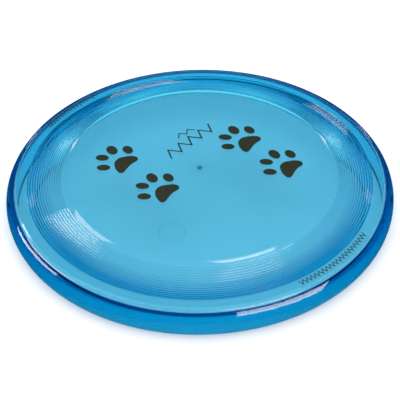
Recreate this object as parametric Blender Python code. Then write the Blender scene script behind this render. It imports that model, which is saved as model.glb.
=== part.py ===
"""A translucent blue flying disc, 230 mm across, with paw prints in dark ink.

Metres, +Z up, the disc's axis on Z and its rim standing on Z = 0.
The disc is one moulding. Each closed patch of ink on top of it is its own object.
"""

import math

import bpy

MM = 0.001

# The disc, all in millimetres. Radii are from the axis, heights from the bottom of the rim.
SEGMENTS = 56
RIM_RADIUS = 115.0
RIM_MID_HEIGHT = 8.05
RIM_BULGE = 11.7
RIM_TOP_ANGLE = 37.0
RIM_FOOT_ANGLE = -41.0
FOOT_OUTER = 111.5
FOOT_INNER = 108.9
FOOT_CHAMFER = 0.4
INNER_WALL_TOP = (110.4, 14.6)
INNER_FILLET = 1.0
SHOULDER_RADIUS = 4.4
SHOULDER_SLOPE = 3.5
PLATE_THICKNESS = 1.9
COVE_FOOT = (100.0, 17.75)
COVE_RADIUS = 36.5
COVE_INNER = 81.9
EDGE_FILLET = 12.4
DOME_SLOPE = 3.0
GATE_RADIUS = 1.1
GATE_HEIGHT = 0.35
DIMPLE_RADIUS = 4.0
DIMPLE_DEPTH = 0.4

# The flight grooves, a row of fine V cuts on the slope round the plate.
GROOVES = 14
GROOVE_FIRST = 82.6
GROOVE_LAST = 101.8
GROOVE_HALF_WIDTH = 0.5
GROOVE_DEPTH_INNER = 0.16
GROOVE_DEPTH_OUTER = 0.34

# The ink: its film thickness and the hairline of air that keeps two solids apart.
INK_THICKNESS = 0.08
INK_GAP = 0.06
PAW_PLACES = (
    # x, y of the middle of the pad, and how far the whole print is turned, in degrees
    (-44.3, 5.1, -1.2),
    (-19.8, -22.2, -0.8),
    (29.5, 22.5, 1.0),
    (53.4, -1.0, 2.6),
)
TOES = (
    # x, y from the middle of the pad, half length, half width, turn in degrees
    (-12.3, -3.5, 4.0, 2.75, 176.0),
    (-13.6, 5.8, 4.0, 2.75, 169.0),
    (-8.2, 12.8, 4.45, 3.15, 117.0),
    (1.3, 12.8, 4.0, 2.9, 119.0),
)
PAD_OUTLINE = (
    (7.6, 2.6), (7.2, 5.5), (4.2, 6.7), (0.0, 6.2), (-3.6, 4.9), (-5.7, 2.0), (-6.0, -1.2),
    (-5.0, -5.2), (-3.0, -8.4), (-0.9, -8.9), (0.7, -7.0), (2.2, -4.0), (4.4, -0.6),
)
PAD_STEPS = 3
TOE_POINTS = 24

# Plain zigzag strokes, as decoration: two across the plate and two round the flat band.
LONG_STROKE = ((-19.0, 10.5), (8.0, 39.5), 9, 3.6, 0.45)
SHORT_STROKE = ((-13.5, 29.0), (-3.5, 37.0), 4, 1.7, 0.35)
BAND_RADIUS = 105.9
BAND_SWING = 1.45
BAND_STROKE = 0.27
BAND_STROKES = (("band_stroke_near", 300.5, 331.0, 20), ("band_stroke_far", 128.0, 151.0, 16))

SHARP_ANGLE = math.radians(32.0)


def arc(centre, radius, start, end, steps):
    """Points round a centre, from one angle to another, in degrees from the +r axis."""
    points = []
    for step in range(steps + 1):
        angle = math.radians(start + (end - start) * step / steps)
        points.append((centre[0] + radius * math.cos(angle), centre[1] + radius * math.sin(angle)))
    return points


def cove_angle():
    """The slope, in degrees, where the cove meets the edge of the plate."""
    return math.degrees(math.asin((COVE_FOOT[0] - COVE_INNER) / COVE_RADIUS))


def cove_centre():
    return COVE_FOOT[0], COVE_FOOT[1] + COVE_RADIUS


def fillet_centre():
    """The centre of the round between the cove and the domed plate."""
    slope = math.radians(cove_angle())
    reach = COVE_RADIUS + EDGE_FILLET
    centre = cove_centre()
    return centre[0] - reach * math.sin(slope), centre[1] - reach * math.cos(slope)


def dome():
    """The height of the dome's centre and its radius."""
    slope = math.radians(DOME_SLOPE)
    centre = fillet_centre()
    edge = centre[0] + EDGE_FILLET * math.sin(slope)
    radius = edge / math.sin(slope)
    return centre[1] + EDGE_FILLET * math.cos(slope) - radius * math.cos(slope), radius


def dome_height(distance, lower=0.0):
    middle, radius = dome()
    return middle + math.sqrt((radius - lower) ** 2 - distance**2)


def band_height(distance):
    """The flat band between the grooves and the shoulder, which slopes gently down and out."""
    fall = math.tan(math.radians(SHOULDER_SLOPE))
    reach = max(distance - COVE_FOOT[0], 0.0)
    width = shoulder_start() - COVE_FOOT[0]
    return COVE_FOOT[1] - fall * reach * reach / (2.0 * width)


def rim_centre():
    return RIM_RADIUS - RIM_BULGE, RIM_MID_HEIGHT


def shoulder_start():
    """The radius where the shoulder's round leaves the flat band."""
    angle = math.radians(RIM_TOP_ANGLE)
    top = math.radians(90.0 - SHOULDER_SLOPE)
    outer = rim_centre()[0] + RIM_BULGE * math.cos(angle)
    return outer - SHOULDER_RADIUS * (math.cos(angle) - math.cos(top))


def slope_height(distance):
    """The top of the cove, or of the flat band outside it."""
    if distance >= COVE_FOOT[0]:
        return band_height(distance)
    drop = COVE_FOOT[0] - distance
    return cove_centre()[1] - math.sqrt(COVE_RADIUS**2 - drop**2)


def groove_points():
    """Three points for each V cut: its inner lip, its bottom and its outer lip."""
    points = []
    for index in range(GROOVES):
        share = index / (GROOVES - 1)
        middle = GROOVE_FIRST + (GROOVE_LAST - GROOVE_FIRST) * share
        depth = GROOVE_DEPTH_INNER + (GROOVE_DEPTH_OUTER - GROOVE_DEPTH_INNER) * share
        inner = middle - GROOVE_HALF_WIDTH
        outer = middle + GROOVE_HALF_WIDTH
        slope = math.asin(max(COVE_FOOT[0] - middle, 0.0) / COVE_RADIUS)
        points.append((inner, slope_height(inner)))
        bottom = (middle - depth * math.sin(slope), slope_height(middle) - depth * math.cos(slope))
        points.append(bottom)
        points.append((outer, slope_height(outer)))
    return points


def top_profile():
    """From the axis out to the shoulder, along the top."""
    gate = dome_height(0.0) - DIMPLE_DEPTH + GATE_HEIGHT
    floor = dome_height(0.0) - DIMPLE_DEPTH
    points = [(0.0, gate), (GATE_RADIUS - 0.3, gate), (GATE_RADIUS, floor)]
    points.append((DIMPLE_RADIUS * 0.6, floor + 0.12 * DIMPLE_DEPTH))
    edge = fillet_centre()[0] + EDGE_FILLET * math.sin(math.radians(DOME_SLOPE))
    for share in (0.0, 0.25, 0.5, 0.75):
        distance = DIMPLE_RADIUS + (edge - DIMPLE_RADIUS) * share
        points.append((distance, dome_height(distance)))
    points += arc(fillet_centre(), EDGE_FILLET, 90.0 - DOME_SLOPE, 90.0 - cove_angle(), 5)
    points += groove_points()
    distance = (GROOVE_LAST + shoulder_start()) / 2.0
    points.append((distance, band_height(distance)))
    return points


def rim_profile():
    """From the shoulder down the outside of the rim, across its foot and up the inside."""
    angle = math.radians(RIM_TOP_ANGLE)
    end = (
        rim_centre()[0] + RIM_BULGE * math.cos(angle),
        rim_centre()[1] + RIM_BULGE * math.sin(angle),
    )
    centre = (
        end[0] - SHOULDER_RADIUS * math.cos(angle),
        end[1] - SHOULDER_RADIUS * math.sin(angle),
    )
    points = arc(centre, SHOULDER_RADIUS, 90.0 - SHOULDER_SLOPE, RIM_TOP_ANGLE, 5)
    points += arc(rim_centre(), RIM_BULGE, RIM_TOP_ANGLE, 0.0, 4)[1:]
    points += arc(rim_centre(), RIM_BULGE, 0.0, RIM_FOOT_ANGLE, 4)[1:]
    points.append((FOOT_OUTER, 0.0))
    points.append((FOOT_INNER, 0.0))
    points.append((FOOT_INNER - FOOT_CHAMFER, FOOT_CHAMFER))
    wall, height = INNER_WALL_TOP
    points += arc((wall - INNER_FILLET, height), INNER_FILLET, 0.0, 90.0, 4)
    return points


def under_profile():
    """Back in along the underside, one plate thickness below the top."""
    cove = cove_angle()
    points = arc(cove_centre(), COVE_RADIUS + PLATE_THICKNESS, -90.0, -90.0 - cove, 5)
    round_under = arc(
        fillet_centre(), EDGE_FILLET - PLATE_THICKNESS, 90.0 - cove, 90.0 - DOME_SLOPE, 3
    )
    points += round_under[1:]
    edge = round_under[-1][0]
    for share in (0.67, 0.34):
        points.append((edge * share, dome_height(edge * share, PLATE_THICKNESS)))
    points.append((0.0, dome_height(0.0, PLATE_THICKNESS)))
    return points


def material(name, colour, roughness, transmission=0.0):
    made = bpy.data.materials.new(name)
    made.use_nodes = True
    shader = made.node_tree.nodes["Principled BSDF"]
    shader.inputs["Base Color"].default_value = (*colour, 1.0)
    shader.inputs["Roughness"].default_value = roughness
    shader.inputs["IOR"].default_value = 1.5
    shader.inputs["Transmission Weight"].default_value = transmission
    made.diffuse_color = (*colour, 1.0)
    return made


def add_object(name, vertices, faces, surface):
    mesh = bpy.data.meshes.new(name)
    scaled = [tuple(value * MM for value in vertex) for vertex in vertices]
    mesh.from_pydata(scaled, [], faces)
    mesh.materials.append(surface)
    mesh.polygons.foreach_set("use_smooth", [True] * len(mesh.polygons))
    mesh.set_sharp_from_angle(angle=SHARP_ANGLE)
    mesh.update()
    made = bpy.data.objects.new(name, mesh)
    bpy.context.scene.collection.objects.link(made)
    return made


def turned(name, profile, surface):
    """A closed solid from a profile whose first and last points are on the axis."""
    vertices = [(0.0, 0.0, profile[0][1])]
    for radius, height in profile[1:-1]:
        for step in range(SEGMENTS):
            angle = math.tau * step / SEGMENTS
            vertices.append((radius * math.cos(angle), radius * math.sin(angle), height))
    vertices.append((0.0, 0.0, profile[-1][1]))
    last = len(vertices) - 1
    rings = len(profile) - 2
    faces = []
    for step in range(SEGMENTS):
        after = (step + 1) % SEGMENTS
        faces.append((0, 1 + step, 1 + after))
        for ring in range(rings - 1):
            here = 1 + ring * SEGMENTS
            below = here + SEGMENTS
            faces.append((here + step, below + step, below + after, here + after))
        outer = 1 + (rings - 1) * SEGMENTS
        faces.append((outer + step, last, outer + after))
    return add_object(name, vertices, faces, surface)


def ink_height(x, y):
    """The top of the moulding below a patch of ink."""
    distance = math.hypot(x, y)
    if distance < COVE_INNER:
        return dome_height(distance)
    return band_height(distance)


def ink_patch(name, outline, centre, surface):
    """A film over the dome: a fan from the centre, above and below, with a wall round it."""
    count = len(outline)
    vertices = []
    for lift in (INK_GAP, INK_GAP + INK_THICKNESS):
        for x, y in outline:
            vertices.append((x, y, ink_height(x, y) + lift))
    vertices.append((*centre, ink_height(*centre) + INK_GAP))
    vertices.append((*centre, ink_height(*centre) + INK_GAP + INK_THICKNESS))
    low, high = 2 * count, 2 * count + 1
    faces = []
    for step in range(count):
        after = (step + 1) % count
        faces.append((low, after, step))
        faces.append((high, count + step, count + after))
        faces.append((step, after, count + after, count + step))
    return add_object(name, vertices, faces, surface)


def ink_stroke(name, path, half_width, surface):
    """A film along a zigzag path, with mitred corners and square ends."""
    left = []
    right = []
    for index, (x, y) in enumerate(path):
        before = path[max(index - 1, 0)]
        after = path[min(index + 1, len(path) - 1)]
        ahead = direction((x, y), after) or direction(before, (x, y))
        behind = direction(before, (x, y)) or ahead
        normal = (-ahead[1] - behind[1], ahead[0] + behind[0])
        size = math.hypot(*normal)
        normal = (normal[0] / size, normal[1] / size)
        reach = half_width / (normal[1] * ahead[0] - normal[0] * ahead[1])
        left.append((x + normal[0] * reach, y + normal[1] * reach))
        right.append((x - normal[0] * reach, y - normal[1] * reach))
    count = len(path)
    vertices = []
    for lift in (INK_GAP, INK_GAP + INK_THICKNESS):
        for side in (left, right):
            for x, y in side:
                vertices.append((x, y, ink_height(x, y) + lift))
    faces = []
    for step in range(count - 1):
        a, b = step, step + 1
        c, d = a + count, b + count
        e, f = a + 2 * count, b + 2 * count
        g, h = a + 3 * count, b + 3 * count
        faces += [(a, b, d, c), (g, h, f, e), (e, f, b, a), (c, d, h, g)]
    end = count - 1
    faces.append((0, count, 3 * count, 2 * count))
    faces.append((end, end + 2 * count, end + 3 * count, end + count))
    return add_object(name, vertices, faces, surface)


def direction(start, end):
    size = math.hypot(end[0] - start[0], end[1] - start[1])
    if size == 0.0:
        return None
    return (end[0] - start[0]) / size, (end[1] - start[1]) / size


def smooth_outline(points, steps):
    """A closed smooth curve through a few points."""
    count = len(points)
    outline = []
    for index in range(count):
        before, start, end, after = (points[(index + shift) % count] for shift in (-1, 0, 1, 2))
        for step in range(steps):
            t = step / steps
            outline.append(tuple(
                0.5 * (2 * b + (c - a) * t + (2 * a - 5 * b + 4 * c - d) * t**2
                       + (3 * b - a - 3 * c + d) * t**3)
                for a, b, c, d in zip(before, start, end, after)
            ))
    return outline


def placed(point, place):
    """A point turned by the place's angle and moved to its x and y."""
    x, y, turn = place
    cosine, sine = math.cos(math.radians(turn)), math.sin(math.radians(turn))
    return x + point[0] * cosine - point[1] * sine, y + point[0] * sine + point[1] * cosine


def toe_outline(centre, half_length, half_width, turn):
    outline = []
    for step in range(TOE_POINTS):
        angle = math.tau * step / TOE_POINTS
        point = (half_length * math.cos(angle), half_width * math.sin(angle))
        outline.append(placed(point, (*centre, turn)))
    return outline


def zigzag(start, end, strokes, swing):
    """Corners that swing from side to side of a straight line."""
    along = direction(start, end)
    path = []
    for corner in range(strokes + 1):
        share = corner / strokes
        side = swing if corner % 2 else -swing
        x = start[0] + (end[0] - start[0]) * share - along[1] * side
        y = start[1] + (end[1] - start[1]) * share + along[0] * side
        path.append((x, y))
    return path


def band_zigzag(first, last, strokes):
    """Corners that swing in and out along the flat band, in degrees round the disc."""
    path = []
    for corner in range(2 * strokes + 1):
        angle = math.radians(first + (last - first) * corner / (2 * strokes))
        radius = BAND_RADIUS + (BAND_SWING if corner % 2 else -BAND_SWING)
        path.append((radius * math.cos(angle), radius * math.sin(angle)))
    return path


def ink(name):
    return material(f"ink_{name}", (0.024, 0.026, 0.016), 0.42)


def build():
    for leftover in list(bpy.data.objects):
        bpy.data.objects.remove(leftover, do_unlink=True)
    blue = material("blue_plastic", (0.03, 0.42, 0.74), 0.07, 0.8)
    turned("disc_body", top_profile() + rim_profile() + under_profile(), blue)
    for number, place in enumerate(PAW_PLACES, 1):
        pad = [placed(point, place) for point in smooth_outline(PAD_OUTLINE, PAD_STEPS)]
        name = f"paw_{number}_pad"
        ink_patch(name, pad, place[:2], ink(name))
        for toe, (dx, dy, half_length, half_width, turn) in enumerate(TOES, 1):
            name = f"paw_{number}_toe_{toe}"
            centre = placed((dx, dy), place)
            outline = toe_outline(centre, half_length, half_width, turn + place[2])
            ink_patch(name, outline, centre, ink(name))
    for name, stroke in (("long_stroke", LONG_STROKE), ("short_stroke", SHORT_STROKE)):
        start, end, strokes, swing, half_width = stroke
        ink_stroke(name, zigzag(start, end, strokes, swing), half_width, ink(name))
    for name, first, last, strokes in BAND_STROKES:
        ink_stroke(name, band_zigzag(first, last, strokes), BAND_STROKE, ink(name))


build()
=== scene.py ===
"""A translucent blue flying disc with dark printed paw marks, on a pale floor under soft studio light."""

import math

import bpy
from mathutils import Matrix, Vector


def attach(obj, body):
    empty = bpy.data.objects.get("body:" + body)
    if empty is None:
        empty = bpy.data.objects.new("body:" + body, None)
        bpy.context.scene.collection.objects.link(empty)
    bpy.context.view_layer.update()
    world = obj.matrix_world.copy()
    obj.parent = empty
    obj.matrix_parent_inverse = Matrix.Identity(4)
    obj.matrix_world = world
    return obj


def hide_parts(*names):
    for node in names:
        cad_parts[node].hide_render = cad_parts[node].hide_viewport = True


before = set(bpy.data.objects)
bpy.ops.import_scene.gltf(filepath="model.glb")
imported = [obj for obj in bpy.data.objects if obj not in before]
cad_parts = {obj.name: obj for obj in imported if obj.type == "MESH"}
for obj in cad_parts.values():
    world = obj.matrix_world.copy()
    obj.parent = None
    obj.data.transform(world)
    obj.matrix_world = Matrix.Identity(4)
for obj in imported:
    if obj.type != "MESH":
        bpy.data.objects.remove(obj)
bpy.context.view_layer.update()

MM = 0.001

# The moulding, in millimetres: the CAD's sizes, turned much finer.
TURN_STEPS = 384
SHARP_ANGLE = 20.0
RIM_RADIUS = 115.0
RIM_MID_HEIGHT = 8.05
RIM_BULGE = 11.7
RIM_TOP_ANGLE = 37.0
RIM_FOOT_ANGLE = -41.0
FOOT_OUTER = 111.5
FOOT_INNER = 108.9
FOOT_CHAMFER = 0.4
INNER_WALL_TOP = (110.4, 14.6)
INNER_FILLET = 1.0
SHOULDER_RADIUS = 4.4
SHOULDER_SLOPE = 3.5
PLATE_THICKNESS = 1.9
COVE_FOOT = (100.0, 17.75)
COVE_RADIUS = 36.5
COVE_INNER = 81.9
EDGE_FILLET = 12.4
DOME_SLOPE = 3.0
DIMPLE_RADIUS = 5.2
DIMPLE_DEPTH = 0.4
GATE_SHAPE = (
    # radius, and height above the floor of the dimple
    (0.0, 0.35), (0.4, 0.35), (0.75, 0.32), (0.95, 0.25), (1.05, 0.1), (1.1, 0.02), (1.3, 0.0),
)
GROOVES = 14
GROOVE_FIRST = 82.6
GROOVE_LAST = 101.8
GROOVE_HALF_WIDTH = 0.5
GROOVE_DEPTH_INNER = 0.16
GROOVE_DEPTH_OUTER = 0.34
GROOVE_SHAPE = (
    # place across a groove in half widths, and depth as a share of the groove's depth
    (-1.0, 0.0), (-0.96, 0.03), (-0.9, 0.1), (-0.12, 0.93), (-0.05, 0.99),
    (0.05, 0.99), (0.12, 0.93), (0.9, 0.1), (0.96, 0.03), (1.0, 0.0),
)

# The ink films, in millimetres.
INK_THICKNESS = 0.08
INK_GAP = 0.06
PATCH_RINGS = (
    # scale about the middle of the patch, and height as a share of the film's thickness
    (1.0, 0.0), (1.0, 0.55), (0.992, 0.85), (0.975, 1.0), (0.66, 1.0), (0.33, 1.0),
)
PATCH_UNDER_RINGS = (0.66, 0.33)
PAW_PLACES = (
    # x, y of the middle of the pad, and how far the whole print is turned, in degrees
    (-44.3, 5.1, -1.2),
    (-19.8, -22.2, -0.8),
    (29.5, 22.5, 1.0),
    (53.4, -1.0, 2.6),
)
TOES = (
    # x, y of the middle from the pad's, half length, half width, and turn in degrees
    (-12.3, -3.5, 4.0, 2.75, 176.0),
    (-13.6, 5.8, 4.0, 2.75, 169.0),
    (-8.2, 12.8, 4.45, 3.15, 117.0),
    (1.3, 12.8, 4.0, 2.9, 119.0),
)
PAD_OUTLINE = (
    (7.6, 2.6), (7.2, 5.5), (4.2, 6.7), (0.0, 6.2), (-3.6, 4.9), (-5.7, 2.0), (-6.0, -1.2),
    (-5.0, -5.2), (-3.0, -8.4), (-0.9, -8.9), (0.7, -7.0), (2.2, -4.0), (4.4, -0.6),
)
PAD_STEPS = 10
TOE_POINTS = 72
PLATE_STROKES = (
    # node, start, end, number of strokes, half of the swing, half of the line's width
    ("long_stroke", (-19.0, 10.5), (8.0, 39.5), 9, 3.6, 0.45),
    ("short_stroke", (-13.5, 29.0), (-3.5, 37.0), 4, 1.7, 0.35),
)
BAND_RADIUS = 105.9
BAND_SWING = 1.45
BAND_HALF_WIDTH = 0.27
BAND_STROKES = (
    # node, first and last bearing in degrees, number of zigzags
    ("band_stroke_near", 300.5, 331.0, 20),
    ("band_stroke_far", 128.0, 151.0, 16),
)

# The plastic. CLEAR and CLEAR_THIN drift into each other.
PLASTIC_IOR = 1.5
CLEAR = (0.755, 0.82, 0.91, 1.0)
CLEAR_THIN = (0.7, 0.805, 0.905, 1.0)
PLASTIC_ROUGHNESS = (0.04, 0.075)
LEFT_BY_ABSORPTION = (0.0, 0.84, 0.945, 1.0)
ABSORPTION_DENSITY = 430.0

# The deeper tint of the painted shade along the grooves and of the plastic's own marks at the gate and
# the mould pin: its strength, and the millimetres over which it fades.
SHADE_AND_MARK_TINT = (0.0, 0.28, 0.56, 1.0)
LINE_WAVE = (-0.8, 0.5)
LINES_START = (GROOVE_FIRST - 0.7, GROOVE_FIRST - 0.3)
LINES_END = (GROOVE_LAST + 0.5, GROOVE_LAST + 0.7)
LINES_DEEPEN = (87.5, 97.5)
INNER_LINE_SHADE = 0.22
GATE_EDGE = (1.2, 2.2)
GATE_TINT = 0.85
HALO_EDGE = (2.0, 9.0)
HALO_TINT = 0.1
PIN_PLACE = (-16.0, -55.0)
PIN_RADIUS = 7.4
PIN_LINE = (0.1, 0.5)
PIN_TINT = 0.16

# The ink's colour and finish.
INK_IOR = 1.3
INK_DARK = (0.016, 0.022, 0.012, 1.0)
INK_PALE = (0.028, 0.036, 0.021, 1.0)
INK_ROUGHNESS = (0.34, 0.5)
INK_BUMP = 0.15
INK_BUMP_DISTANCE = 0.00003

# The stage, in metres. Its lamps stand where the disc's slopes mirror them to the camera.
FLOOR_SIZE = 12.0
FLOOR_DROP = 0.0002
FLOOR_COLOUR = (0.8, 0.8, 0.8, 1.0)
FLOOR_ROUGHNESS = 0.9
FLOOR_GLOW = 0.12
WORLD_LIGHT = 1.5
WARM = (1.0, 0.8, 0.68)
NEUTRAL = (1.0, 1.0, 0.95)
SOFTBOXES = (
    # name, the two ends of its middle line, width, radiance, colour
    ("softbox_left", (-0.76, 0.62, 0.86), (-0.76, 0.4, 1.38), 0.46, 6.0, WARM),
    ("softbox_low_left", (-0.76, 0.3, 0.14), (-0.76, -0.15, 0.28), 0.3, 9.0, NEUTRAL),
    ("softbox_low_right", (0.358, -1.1, 0.59), (1.144, -0.486, 0.38), 0.7, 9.0, NEUTRAL),
    ("softbox_right", (0.1, 0.05, 1.2), (0.5, 0.225, 1.2), 0.4, 5.0, WARM),
    ("strip_right", (0.12, 0.0, 1.19), (0.52, 0.175, 1.19), 0.16, 5.0, WARM),
)
FAR_STRIPS = (("strip_far_left", 115.0), ("strip_far_right", 65.0))
FAR_STRIP_ELEVATIONS = (9.0, 21.0)
FAR_STRIP_DISTANCE = 2.0
FAR_STRIP_WIDTH = 0.12
FAR_STRIP_RADIANCE = 4.0

# The camera: angles in degrees, distance and aim in metres, lens in millimetres.
CAMERA_ELEVATION = 40.7
CAMERA_DISTANCE = 0.8958
CAMERA_AIM = (0.0, 0.0004, 0.0)
CAMERA_ROLL = -0.89
CAMERA_LENS = 134.3
SENSOR_WIDTH = 36.0


def inside(first, last, steps):
    """The values between two ends, at even steps and without the ends."""
    return [first + (last - first) * step / steps for step in range(1, steps)]


def arc(centre, radius, start, end, steps):
    """Points from one angle to another, in degrees, with both ends."""
    points = []
    for step in range(steps + 1):
        angle = math.radians(start + (end - start) * step / steps)
        points.append((centre[0] + radius * math.cos(angle), centre[1] + radius * math.sin(angle)))
    return points


COVE_ANGLE = math.degrees(math.asin((COVE_FOOT[0] - COVE_INNER) / COVE_RADIUS))
COVE_CENTRE = (COVE_FOOT[0], COVE_FOOT[1] + COVE_RADIUS)
FILLET_CENTRE = (
    COVE_CENTRE[0] - (COVE_RADIUS + EDGE_FILLET) * math.sin(math.radians(COVE_ANGLE)),
    COVE_CENTRE[1] - (COVE_RADIUS + EDGE_FILLET) * math.cos(math.radians(COVE_ANGLE)),
)
PLATE_EDGE = FILLET_CENTRE[0] + EDGE_FILLET * math.sin(math.radians(DOME_SLOPE))
DOME_RADIUS = PLATE_EDGE / math.sin(math.radians(DOME_SLOPE))
DOME_CENTRE = FILLET_CENTRE[1] + (EDGE_FILLET - DOME_RADIUS) * math.cos(math.radians(DOME_SLOPE))
RIM_CENTRE = (RIM_RADIUS - RIM_BULGE, RIM_MID_HEIGHT)
SHOULDER_END = (
    RIM_CENTRE[0] + RIM_BULGE * math.cos(math.radians(RIM_TOP_ANGLE)),
    RIM_CENTRE[1] + RIM_BULGE * math.sin(math.radians(RIM_TOP_ANGLE)),
)
SHOULDER_CENTRE = (
    SHOULDER_END[0] - SHOULDER_RADIUS * math.cos(math.radians(RIM_TOP_ANGLE)),
    SHOULDER_END[1] - SHOULDER_RADIUS * math.sin(math.radians(RIM_TOP_ANGLE)),
)
SHOULDER_START = SHOULDER_CENTRE[0] + SHOULDER_RADIUS * math.sin(math.radians(SHOULDER_SLOPE))


def dome_height(distance, lower=0.0):
    """The top of the plate, or a surface that is lower by an even wall."""
    return DOME_CENTRE + math.sqrt((DOME_RADIUS - lower) ** 2 - distance**2)


def slope_height(distance):
    """The cove, and beyond its foot the flat band, before the grooves are cut."""
    if distance >= COVE_FOOT[0]:
        reach = distance - COVE_FOOT[0]
        fall = math.tan(math.radians(SHOULDER_SLOPE))
        return COVE_FOOT[1] - fall * reach * reach / (2.0 * (SHOULDER_START - COVE_FOOT[0]))
    return COVE_CENTRE[1] - math.sqrt(COVE_RADIUS**2 - (COVE_FOOT[0] - distance) ** 2)


def grooved_slope():
    """The cove and the start of the flat band, as a row of soft V cuts."""
    points = []
    for index in range(GROOVES):
        share = index / (GROOVES - 1)
        middle = GROOVE_FIRST + (GROOVE_LAST - GROOVE_FIRST) * share
        depth = GROOVE_DEPTH_INNER + (GROOVE_DEPTH_OUTER - GROOVE_DEPTH_INNER) * share
        slope = math.asin(max(COVE_FOOT[0] - middle, 0.0) / COVE_RADIUS)
        for across, cut_share in GROOVE_SHAPE:
            radius = middle + across * GROOVE_HALF_WIDTH
            cut = cut_share * depth
            points.append((radius - cut * math.sin(slope), slope_height(radius) - cut * math.cos(slope)))
    return points


def moulding_profile():
    """From the axis out along the top, down the rim, across its foot and back underneath."""
    floor = dome_height(0.0) - DIMPLE_DEPTH
    points = [(radius, floor + height) for radius, height in GATE_SHAPE]
    gate_edge = points[-1][0]
    for share in inside(0.0, 1.0, steps=12):
        radius = gate_edge + (DIMPLE_RADIUS - gate_edge) * share
        rise = share * share * (3.0 - 2.0 * share)
        points.append((radius, floor + (dome_height(radius) - floor) * rise))
    points.append((DIMPLE_RADIUS, dome_height(DIMPLE_RADIUS)))
    points += [(radius, dome_height(radius)) for radius in inside(DIMPLE_RADIUS, PLATE_EDGE, steps=15)]
    points += arc(FILLET_CENTRE, EDGE_FILLET, 90.0 - DOME_SLOPE, 90.0 - COVE_ANGLE, steps=16)
    points += grooved_slope()
    last_groove = points[-1][0]
    points += [(radius, slope_height(radius)) for radius in inside(last_groove, SHOULDER_START, steps=8)]
    points += arc(SHOULDER_CENTRE, SHOULDER_RADIUS, 90.0 - SHOULDER_SLOPE, RIM_TOP_ANGLE, steps=14)
    points += arc(RIM_CENTRE, RIM_BULGE, RIM_TOP_ANGLE, 0.0, steps=12)[1:]
    points += arc(RIM_CENTRE, RIM_BULGE, 0.0, RIM_FOOT_ANGLE, steps=14)[1:]
    heel = points[-1]
    # The heel rounds in to the flat foot ring, whose inner edge is chamfered.
    points += [
        (heel[0] - 0.1, heel[1] * 0.55),
        (FOOT_OUTER + 0.12, heel[1] * 0.18),
        (FOOT_OUTER - 0.1, 0.0),
        (FOOT_OUTER - 0.3, 0.0),
        (FOOT_INNER + 0.2, 0.0),
        (FOOT_INNER, 0.0),
        (FOOT_INNER - 0.16, 0.05),
        (FOOT_INNER - 0.32, 0.18),
        (FOOT_INNER - FOOT_CHAMFER, FOOT_CHAMFER),
    ]
    wall, height = INNER_WALL_TOP
    points += zip(
        inside(FOOT_INNER - FOOT_CHAMFER, wall, steps=7), inside(FOOT_CHAMFER, height, steps=7)
    )
    points += arc((wall - INNER_FILLET, height), INNER_FILLET, 0.0, 90.0, steps=14)
    points += arc(COVE_CENTRE, COVE_RADIUS + PLATE_THICKNESS, -90.0, -90.0 - COVE_ANGLE, steps=24)
    low = EDGE_FILLET - PLATE_THICKNESS
    points += arc(FILLET_CENTRE, low, 90.0 - COVE_ANGLE, 90.0 - DOME_SLOPE, steps=12)[1:]
    under_edge = points[-1][0]
    for radius in [*inside(under_edge, 0.0, steps=20), 0.0]:
        points.append((radius, dome_height(radius, PLATE_THICKNESS)))
    return points


def add_mesh(name, vertices, faces):
    """A mesh from vertices in millimetres, smooth apart from its sharp edges."""
    mesh = bpy.data.meshes.new(name)
    mesh.from_pydata([tuple(value * MM for value in vertex) for vertex in vertices], [], faces)
    mesh.polygons.foreach_set("use_smooth", [True] * len(mesh.polygons))
    mesh.set_sharp_from_angle(angle=math.radians(SHARP_ANGLE))
    mesh.update()
    piece = bpy.data.objects.new(name, mesh)
    bpy.context.scene.collection.objects.link(piece)
    return piece


def turned(name, profile):
    """The profile turned about the Z axis, with both of its ends on the axis."""
    vertices = [(0.0, 0.0, profile[0][1])]
    for radius, height in profile[1:-1]:
        for step in range(TURN_STEPS):
            angle = math.tau * step / TURN_STEPS
            vertices.append((radius * math.cos(angle), radius * math.sin(angle), height))
    vertices.append((0.0, 0.0, profile[-1][1]))
    last = len(vertices) - 1
    rings = len(profile) - 2
    faces = []
    for step in range(TURN_STEPS):
        after = (step + 1) % TURN_STEPS
        faces.append((0, 1 + step, 1 + after))
        for ring in range(rings - 1):
            here = 1 + ring * TURN_STEPS
            below = here + TURN_STEPS
            faces.append((here + step, below + step, below + after, here + after))
        outer = 1 + (rings - 1) * TURN_STEPS
        faces.append((outer + step, last, outer + after))
    return add_mesh(name, vertices, faces)


# Node materials.


def new_material(name):
    made = bpy.data.materials.new(name)
    made.use_nodes = True
    nodes, links = made.node_tree.nodes, made.node_tree.links
    return made, nodes, links, nodes["Principled BSDF"]


def noise(nodes, links, source, scale, detail, roughness=0.5):
    made = nodes.new("ShaderNodeTexNoise")
    made.inputs["Scale"].default_value = scale
    made.inputs["Detail"].default_value = detail
    made.inputs["Roughness"].default_value = roughness
    links.new(source, made.inputs["Vector"])
    return made.outputs["Fac"]


def ramp(nodes, links, source, span, result):
    """The result's two ends at the span's two ends, even between them and held beyond them."""
    made = nodes.new("ShaderNodeMapRange")
    made.inputs["From Min"].default_value, made.inputs["From Max"].default_value = span
    made.inputs["To Min"].default_value, made.inputs["To Max"].default_value = result
    links.new(source, made.inputs["Value"])
    return made.outputs["Result"]


def blend(nodes, links, factor, first, second):
    """The first colour where the factor is 0 and the second where it is 1. Each can be a socket."""
    made = nodes.new("ShaderNodeMix")
    made.data_type = "RGBA"
    links.new(factor, made.inputs["Factor"])
    for socket, colour in (("A", first), ("B", second)):
        if isinstance(colour, tuple):
            made.inputs[socket].default_value = colour
        else:
            links.new(colour, made.inputs[socket])
    return made.outputs["Result"]


def maths(nodes, links, operation, *values):
    """A Math node's result. Each value is a number or a socket."""
    made = nodes.new("ShaderNodeMath")
    made.operation = operation
    for socket, value in zip(made.inputs, values):
        if isinstance(value, float):
            socket.default_value = value
        else:
            links.new(value, socket)
    return made.outputs["Value"]


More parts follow.
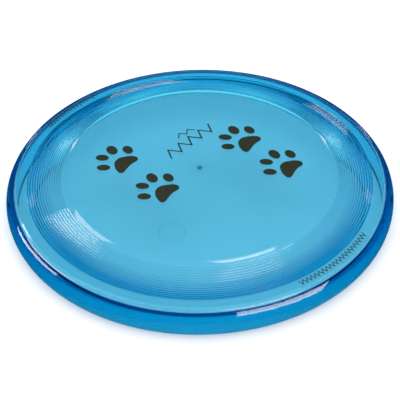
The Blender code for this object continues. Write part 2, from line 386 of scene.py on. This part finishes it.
def distance_from(nodes, links, place, centre):
    """How far a point is, in millimetres, from a line that stands upright at the centre."""
    flat = nodes.new("ShaderNodeVectorMath")
    flat.operation = "MULTIPLY"
    flat.inputs[1].default_value = (1.0 / MM, 1.0 / MM, 0.0)
    links.new(place, flat.inputs[0])
    reach = nodes.new("ShaderNodeVectorMath")
    reach.operation = "DISTANCE"
    reach.inputs[1].default_value = (*centre, 0.0)
    links.new(flat.outputs["Vector"], reach.inputs[0])
    return reach.outputs["Value"]


def painted_groove_shade(nodes, links, radius):
    """Painted shade along the grooves: up to one line at the middle of each groove and nothing between
    them, stronger on the outer ones.
    """
    pitch = (GROOVE_LAST - GROOVE_FIRST) / (GROOVES - 1)
    turns = maths(nodes, links, "DIVIDE", maths(nodes, links, "SUBTRACT", radius, GROOVE_FIRST), pitch)
    wave = maths(nodes, links, "COSINE", maths(nodes, links, "MULTIPLY", turns, math.tau))
    line = ramp(nodes, links, wave, LINE_WAVE, (0.0, 1.0))
    inner = ramp(nodes, links, radius, LINES_START, (0.0, 1.0))
    outer = ramp(nodes, links, radius, LINES_END, (1.0, 0.0))
    depth = ramp(nodes, links, radius, LINES_DEEPEN, (INNER_LINE_SHADE, 1.0))
    shown = maths(nodes, links, "MULTIPLY", maths(nodes, links, "MULTIPLY", line, inner), outer)
    return maths(nodes, links, "MULTIPLY", shown, depth)


def mould_marks(nodes, links, place, radius):
    """The thick plastic at the gate, the dull halo round it and the faint ring of a mould pin."""
    gate = ramp(nodes, links, radius, GATE_EDGE, (GATE_TINT, 0.0))
    halo = ramp(nodes, links, radius, HALO_EDGE, (HALO_TINT, 0.0))
    reach = distance_from(nodes, links, place, PIN_PLACE)
    offset = maths(nodes, links, "ABSOLUTE", maths(nodes, links, "SUBTRACT", reach, PIN_RADIUS))
    ring = ramp(nodes, links, offset, PIN_LINE, (PIN_TINT, 0.0))
    return maths(nodes, links, "ADD", maths(nodes, links, "ADD", gate, halo), ring)


def blue_plastic():
    made, nodes, links, shader = new_material("blue_plastic")
    place = nodes.new("ShaderNodeTexCoord").outputs["Object"]
    shader.inputs["Transmission Weight"].default_value = 1.0
    shader.inputs["IOR"].default_value = PLASTIC_IOR
    cloud = noise(nodes, links, place, scale=38.0, detail=3.0)
    clear = blend(nodes, links, ramp(nodes, links, cloud, (0.3, 0.7), (0.0, 1.0)), CLEAR_THIN, CLEAR)
    radius = distance_from(nodes, links, place, (0.0, 0.0))
    # The groove lines are painted shade. The gate, its halo and the pin ring are marks in the plastic
    # itself.
    groove_shade = painted_groove_shade(nodes, links, radius)
    shade_and_marks = maths(nodes, links, "ADD", groove_shade, mould_marks(nodes, links, place, radius))
    links.new(blend(nodes, links, shade_and_marks, clear, SHADE_AND_MARK_TINT), shader.inputs["Base Color"])
    scuff = noise(nodes, links, place, scale=260.0, detail=4.0, roughness=0.6)
    links.new(ramp(nodes, links, scuff, (0.35, 0.75), PLASTIC_ROUGHNESS), shader.inputs["Roughness"])
    volume = nodes.new("ShaderNodeVolumeAbsorption")
    volume.inputs["Color"].default_value = LEFT_BY_ABSORPTION
    volume.inputs["Density"].default_value = ABSORPTION_DENSITY
    links.new(volume.outputs["Volume"], nodes["Material Output"].inputs["Volume"])
    return made


def print_ink():
    made, nodes, links, shader = new_material("print_ink")
    place = nodes.new("ShaderNodeTexCoord").outputs["Object"]
    shader.inputs["IOR"].default_value = INK_IOR
    grain = noise(nodes, links, place, scale=900.0, detail=3.0, roughness=0.65)
    tint = blend(nodes, links, ramp(nodes, links, grain, (0.35, 0.7), (0.0, 1.0)), INK_DARK, INK_PALE)
    links.new(tint, shader.inputs["Base Color"])
    links.new(ramp(nodes, links, grain, (0.3, 0.7), INK_ROUGHNESS), shader.inputs["Roughness"])
    bump = nodes.new("ShaderNodeBump")
    bump.inputs["Strength"].default_value = INK_BUMP
    bump.inputs["Distance"].default_value = INK_BUMP_DISTANCE
    links.new(grain, bump.inputs["Height"])
    links.new(bump.outputs["Normal"], shader.inputs["Normal"])
    return made


# The pieces of ink.


def ink_height(x, y):
    """The height of the moulding under a point of a print."""
    distance = math.hypot(x, y)
    return dome_height(distance) if distance < COVE_INNER else slope_height(distance)


def ink_patch(name, outline, centre):
    """A film with a rounded edge, as rings from its foot up and in to its middle."""
    rings = len(PATCH_RINGS)
    count = len(outline)
    vertices = []
    for scale, lift in (*PATCH_RINGS, *((scale, 0.0) for scale in PATCH_UNDER_RINGS)):
        for x, y in outline:
            px, py = centre[0] + (x - centre[0]) * scale, centre[1] + (y - centre[1]) * scale
            vertices.append((px, py, ink_height(px, py) + INK_GAP + INK_THICKNESS * lift))
    high = len(vertices)
    vertices.append((*centre, ink_height(*centre) + INK_GAP + INK_THICKNESS))
    vertices.append((*centre, ink_height(*centre) + INK_GAP))
    faces = []
    for step in range(count):
        after = (step + 1) % count
        for ring in range(rings - 1):
            a, b = ring * count, (ring + 1) * count
            faces.append((a + step, a + after, b + after, b + step))
        top = (rings - 1) * count
        faces.append((high, top + step, top + after))
        for a, b in ((0, rings), (rings, rings + 1)):
            faces.append((a * count + after, a * count + step, b * count + step, b * count + after))
        under = (rings + 1) * count
        faces.append((high + 1, under + after, under + step))
    return add_mesh(name, vertices, faces)


def direction(start, end):
    """The unit vector from one point to the other, or None where they are the same point."""
    size = math.hypot(end[0] - start[0], end[1] - start[1])
    return ((end[0] - start[0]) / size, (end[1] - start[1]) / size) if size else None


def ink_stroke(name, path, half_width):
    """A film of even width along a path, mitred at its corners."""
    left, right = [], []
    for index, point in enumerate(path):
        before, after = path[max(index - 1, 0)], path[min(index + 1, len(path) - 1)]
        ahead = direction(point, after) or direction(before, point)
        behind = direction(before, point) or ahead
        nx, ny = -ahead[1] - behind[1], ahead[0] + behind[0]
        size = math.hypot(nx, ny)
        nx, ny = nx / size, ny / size
        reach = half_width / (ny * ahead[0] - nx * ahead[1])
        left.append((point[0] + nx * reach, point[1] + ny * reach))
        right.append((point[0] - nx * reach, point[1] - ny * reach))
    vertices = []
    for lift in (0.0, INK_THICKNESS):
        for side in (left, right):
            for x, y in side:
                vertices.append((x, y, ink_height(x, y) + INK_GAP + lift))
    count = len(path)
    faces = []
    for a in range(count - 1):
        b = a + 1
        c, d, e, f = a + count, b + count, a + 2 * count, b + 2 * count
        g, h = a + 3 * count, b + 3 * count
        faces += [(a, b, d, c), (g, h, f, e), (e, f, b, a), (c, d, h, g)]
    end = count - 1
    faces.append((0, count, 3 * count, 2 * count))
    faces.append((end, end + 2 * count, end + 3 * count, end + count))
    return add_mesh(name, vertices, faces)


def smooth_outline(points, steps):
    """A closed curve through the points, with even steps between each point and the next."""
    count = len(points)
    outline = []
    for index in range(count):
        before, start, end, after = (points[(index + shift) % count] for shift in (-1, 0, 1, 2))
        for step in range(steps):
            t = step / steps
            outline.append(tuple(
                0.5 * (2 * b + (c - a) * t + (2 * a - 5 * b + 4 * c - d) * t**2
                       + (3 * b - a - 3 * c + d) * t**3)
                for a, b, c, d in zip(before, start, end, after)
            ))
    return outline


def placed(point, place):
    """A point turned by the place's angle and moved to its x and y."""
    x, y, turn = place
    cosine, sine = math.cos(math.radians(turn)), math.sin(math.radians(turn))
    return x + point[0] * cosine - point[1] * sine, y + point[0] * sine + point[1] * cosine


def toe_outline(centre, half_length, half_width, turn):
    """An ellipse with its length at an angle to the X axis."""
    outline = []
    for step in range(TOE_POINTS):
        angle = math.tau * step / TOE_POINTS
        point = (half_length * math.cos(angle), half_width * math.sin(angle))
        outline.append(placed(point, (*centre, turn)))
    return outline


def zigzag(start, end, strokes, swing):
    """A path of straight strokes that swings to each side of the line between two points."""
    along = direction(start, end)
    path = []
    for corner in range(strokes + 1):
        share = corner / strokes
        side = swing if corner % 2 else -swing
        path.append((
            start[0] + (end[0] - start[0]) * share - along[1] * side,
            start[1] + (end[1] - start[1]) * share + along[0] * side,
        ))
    return path


def band_zigzag(first, last, zigzags):
    """A path of two strokes to a zigzag, along the flat band from one bearing to the other."""
    path = []
    for corner in range(2 * zigzags + 1):
        angle = math.radians(first + (last - first) * corner / (2 * zigzags))
        radius = BAND_RADIUS + (BAND_SWING if corner % 2 else -BAND_SWING)
        path.append((radius * math.cos(angle), radius * math.sin(angle)))
    return path


def stands_for(piece, node, surface):
    """Gives the piece its material and puts it in the place of a CAD node."""
    piece.data.materials.append(surface)
    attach(piece, "root")
    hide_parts(node)


plastic = blue_plastic()
ink = print_ink()
stands_for(turned("disc_moulding", moulding_profile()), "disc_body", plastic)
for number, place in enumerate(PAW_PLACES, 1):
    node = f"paw_{number}_pad"
    pad = [placed(point, place) for point in smooth_outline(PAD_OUTLINE, PAD_STEPS)]
    stands_for(ink_patch(f"ink_{node}", pad, place[:2]), node, ink)
    for toe, (dx, dy, half_length, half_width, turn) in enumerate(TOES, 1):
        node = f"paw_{number}_toe_{toe}"
        centre = placed((dx, dy), place)
        outline = toe_outline(centre, half_length, half_width, turn + place[2])
        stands_for(ink_patch(f"ink_{node}", outline, centre), node, ink)
for node, start, end, strokes, swing, half_width in PLATE_STROKES:
    piece = ink_stroke(f"ink_{node}", zigzag(start, end, strokes, swing), half_width)
    stands_for(piece, node, ink)
for node, first, last, zigzags in BAND_STROKES:
    piece = ink_stroke(f"ink_{node}", band_zigzag(first, last, zigzags), BAND_HALF_WIDTH)
    stands_for(piece, node, ink)


# The stage.


def seen_past_the_surface(nodes, links):
    """0 for what the plastic's outer surface would mirror, and 1 for everything else.

    A photographer keeps white walls and the table out of the mirror reflections. Light that
    has passed into the plastic still meets the whole room.
    """
    path = nodes.new("ShaderNodeLightPath")
    outside = maths(nodes, links, "LESS_THAN", path.outputs["Transmission Depth"], 0.5)
    mirrored = maths(nodes, links, "MULTIPLY", path.outputs["Is Glossy Ray"], outside)
    return maths(nodes, links, "SUBTRACT", 1.0, mirrored)


def pale_floor():
    made, nodes, links, shader = new_material("pale_floor")
    shader.inputs["Base Color"].default_value = FLOOR_COLOUR
    shader.inputs["Roughness"].default_value = FLOOR_ROUGHNESS
    shader.inputs["Specular IOR Level"].default_value = 0.0
    shader.inputs["Emission Color"].default_value = (1.0, 1.0, 1.0, 1.0)
    shader.inputs["Emission Strength"].default_value = FLOOR_GLOW
    black = nodes.new("ShaderNodeEmission")
    black.inputs["Strength"].default_value = 0.0
    shown = nodes.new("ShaderNodeMixShader")
    links.new(seen_past_the_surface(nodes, links), shown.inputs["Fac"])
    links.new(black.outputs["Emission"], shown.inputs[1])
    links.new(shader.outputs["BSDF"], shown.inputs[2])
    links.new(shown.outputs["Shader"], nodes["Material Output"].inputs["Surface"])
    return made


bpy.ops.mesh.primitive_plane_add(size=FLOOR_SIZE, location=(0.0, 0.0, -FLOOR_DROP))
floor = bpy.context.object
floor.name = "floor"
floor.data.materials.append(pale_floor())


def softbox(name, start, end, width, radiance, colour):
    """A rectangular lamp along the line between two points, turned to face the disc.

    It shows in the outer surface's mirror reflections. The camera, the floor and the light
    inside the plastic miss it.
    """
    start, end = Vector(start), Vector(end)
    centre = (start + end) / 2.0
    along = (end - start).normalized()
    back = (centre - along * centre.dot(along)).normalized()
    across = along.cross(back)
    light = bpy.data.lights.new(name, "AREA")
    light.shape = "RECTANGLE"
    light.size = width
    light.size_y = (end - start).length
    light.color = colour
    light.energy = radiance * light.size * light.size_y * math.pi
    made = bpy.data.objects.new(name, light)
    made.matrix_world = Matrix.Translation(centre) @ Matrix((across, along, back)).transposed().to_4x4()
    made.visible_camera = False
    made.visible_diffuse = False
    made.visible_transmission = False
    bpy.context.scene.collection.objects.link(made)


def toward(azimuth, elevation, distance):
    """The point at a distance from the disc's middle, in the direction of two angles in degrees."""
    az, el = math.radians(azimuth), math.radians(elevation)
    return Vector((math.cos(az) * math.cos(el), math.sin(az) * math.cos(el), math.sin(el))) * distance


for name, start, end, width, radiance, colour in SOFTBOXES:
    softbox(name, start, end, width, radiance, colour)
for name, azimuth in FAR_STRIPS:
    low, high = (toward(azimuth, elevation, FAR_STRIP_DISTANCE) for elevation in FAR_STRIP_ELEVATIONS)
    softbox(name, low, high, FAR_STRIP_WIDTH, FAR_STRIP_RADIANCE, WARM)


def studio_world():
    """White light from all round, kept out of the outer surface's mirror reflections."""
    world = bpy.data.worlds.new("studio")
    world.use_nodes = True
    nodes, links = world.node_tree.nodes, world.node_tree.links
    nodes["Background"].inputs["Color"].default_value = (1.0, 1.0, 1.0, 1.0)
    strength = maths(nodes, links, "MULTIPLY", seen_past_the_surface(nodes, links), WORLD_LIGHT)
    links.new(strength, nodes["Background"].inputs["Strength"])
    bpy.context.scene.world = world


studio_world()


def add_camera():
    place = toward(-90.0, CAMERA_ELEVATION, CAMERA_DISTANCE)
    camera = bpy.data.cameras.new("camera")
    camera.lens = CAMERA_LENS
    camera.sensor_width = SENSOR_WIDTH
    camera.clip_start = 0.01
    camera.clip_end = 100.0
    made = bpy.data.objects.new("camera", camera)
    aim = Vector(CAMERA_AIM) - place
    made.matrix_world = (
        Matrix.Translation(place)
        @ aim.to_track_quat("-Z", "Y").to_matrix().to_4x4()
        @ Matrix.Rotation(math.radians(CAMERA_ROLL), 4, "Z")
    )
    bpy.context.scene.collection.objects.link(made)
    bpy.context.scene.camera = made


add_camera()
bpy.context.scene.view_settings.view_transform = "Standard"
